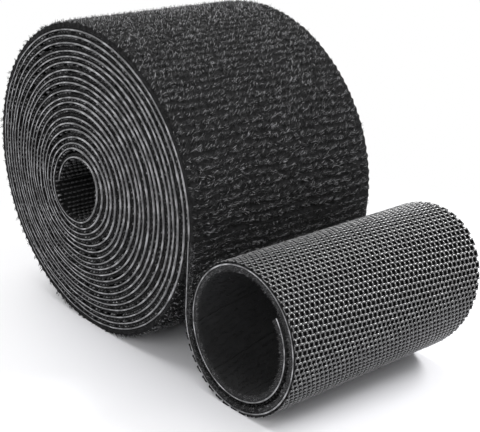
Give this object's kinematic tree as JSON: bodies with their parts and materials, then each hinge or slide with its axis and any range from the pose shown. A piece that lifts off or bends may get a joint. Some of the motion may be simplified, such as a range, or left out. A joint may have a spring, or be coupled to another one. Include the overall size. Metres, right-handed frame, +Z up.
{
  "type": "hook and loop tape roll",
  "caption": "Roll of black back-to-back hook and loop tape, wound pile outwards without a core, with a free end that hangs down, curls up hooks outwards and peels off the roll.",
  "frame": {"origin": "on the floor, under the middle of the whole part's box", "axes": "+X from the roll towards its curled free end, +Y along the roll's axis to its back, +Z up"},
  "size_m": [0.1022, 0.0526, 0.0673],
  "materials": {
    "hook_web": "moulded black plastic with a satin sheen, light grey where its cut edge and hooks catch the light",
    "loop_pile": "brushed knitted pile, near black, in faint rows across the tape, with fine glints"
  },
  "bodies": {
    "roll": {"wound_hook_web": "hook_web", "wound_loop_pile": "loop_pile"},
    "drop": {"drop_hook_web": "hook_web", "drop_loop_pile": "loop_pile"},
    "curl_01": {"curl_01_hook_web": "hook_web", "curl_01_loop_pile": "loop_pile"},
    "curl_02": {"curl_02_hook_web": "hook_web", "curl_02_loop_pile": "loop_pile"},
    "curl_03": {"curl_03_hook_web": "hook_web", "curl_03_loop_pile": "loop_pile"},
    "curl_04": {"curl_04_hook_web": "hook_web", "curl_04_loop_pile": "loop_pile"},
    "curl_05": {"curl_05_hook_web": "hook_web", "curl_05_loop_pile": "loop_pile"},
    "curl_06": {"curl_06_hook_web": "hook_web", "curl_06_loop_pile": "loop_pile"},
    "curl_07": {"curl_07_hook_web": "hook_web", "curl_07_loop_pile": "loop_pile"},
    "curl_08": {"curl_08_hook_web": "hook_web", "curl_08_loop_pile": "loop_pile"},
    "curl_09": {"curl_09_hook_web": "hook_web", "curl_09_loop_pile": "loop_pile"},
    "curl_10": {"curl_10_hook_web": "hook_web", "curl_10_loop_pile": "loop_pile"},
    "curl_11": {"curl_11_hook_web": "hook_web", "curl_11_loop_pile": "loop_pile"},
    "curl_12": {"curl_12_hook_web": "hook_web", "curl_12_loop_pile": "loop_pile"}
  },
  "joints": [
    {"name": "tail_peel", "type": "hinge", "parent": "roll", "child": "drop", "pos_m": [0.02037, 0.0013, 0.03056], "axis": [0, -1, 0], "range_deg": [0, 85]},
    {"name": "curl_open_01", "type": "hinge", "parent": "drop", "child": "curl_01", "pos_m": [0.0188, 0.0013, 0.01453], "axis": [0, 1, 0], "range_deg": [0, 34]},
    {"name": "curl_open_02", "type": "hinge", "parent": "curl_01", "child": "curl_02", "pos_m": [0.02326, 0.0013, 0.00417], "axis": [0, 1, 0], "range_deg": [0, 34]},
    {"name": "curl_open_03", "type": "hinge", "parent": "curl_02", "child": "curl_03", "pos_m": [0.03449, 0.0013, 0.00036], "axis": [0, 1, 0], "range_deg": [0, 34]},
    {"name": "curl_open_04", "type": "hinge", "parent": "curl_03", "child": "curl_04", "pos_m": [0.04715, 0.0013, 0.00684], "axis": [0, 1, 0], "range_deg": [0, 34]},
    {"name": "curl_open_05", "type": "hinge", "parent": "curl_04", "child": "curl_05", "pos_m": [0.05106, 0.0013, 0.01912], "axis": [0, 1, 0], "range_deg": [0, 34]},
    {"name": "curl_open_06", "type": "hinge", "parent": "curl_05", "child": "curl_06", "pos_m": [0.04605, 0.0013, 0.02797], "axis": [0, 1, 0], "range_deg": [0, 34]},
    {"name": "curl_open_07", "type": "hinge", "parent": "curl_06", "child": "curl_07", "pos_m": [0.03504, 0.0013, 0.03042], "axis": [0, 1, 0], "range_deg": [0, 34]},
    {"name": "curl_open_08", "type": "hinge", "parent": "curl_07", "child": "curl_08", "pos_m": [0.02381, 0.0013, 0.02314], "axis": [0, 1, 0], "range_deg": [0, 34]},
    {"name": "curl_open_09", "type": "hinge", "parent": "curl_08", "child": "curl_09", "pos_m": [0.02146, 0.0013, 0.01183], "axis": [0, 1, 0], "range_deg": [0, 34]},
    {"name": "curl_open_10", "type": "hinge", "parent": "curl_09", "child": "curl_10", "pos_m": [0.02681, 0.0013, 0.00443], "axis": [0, 1, 0], "range_deg": [0, 34]},
    {"name": "curl_open_11", "type": "hinge", "parent": "curl_10", "child": "curl_11", "pos_m": [0.03745, 0.0013, 0.00323], "axis": [0, 1, 0], "range_deg": [0, 34]},
    {"name": "curl_open_12", "type": "hinge", "parent": "curl_11", "child": "curl_12", "pos_m": [0.04717, 0.0013, 0.01104], "axis": [0, 1, 0], "range_deg": [0, 34]}
  ],
  "couplings": [
    {"joint": "curl_open_01", "follows": "tail_peel", "ratio": 0.4},
    {"joint": "curl_open_02", "follows": "tail_peel", "ratio": 0.4},
    {"joint": "curl_open_03", "follows": "tail_peel", "ratio": 0.4},
    {"joint": "curl_open_04", "follows": "tail_peel", "ratio": 0.4},
    {"joint": "curl_open_05", "follows": "tail_peel", "ratio": 0.4},
    {"joint": "curl_open_06", "follows": "tail_peel", "ratio": 0.4},
    {"joint": "curl_open_07", "follows": "tail_peel", "ratio": 0.4},
    {"joint": "curl_open_08", "follows": "tail_peel", "ratio": 0.4},
    {"joint": "curl_open_09", "follows": "tail_peel", "ratio": 0.4},
    {"joint": "curl_open_10", "follows": "tail_peel", "ratio": 0.4},
    {"joint": "curl_open_11", "follows": "tail_peel", "ratio": 0.4},
    {"joint": "curl_open_12", "follows": "tail_peel", "ratio": 0.4}
  ]
}
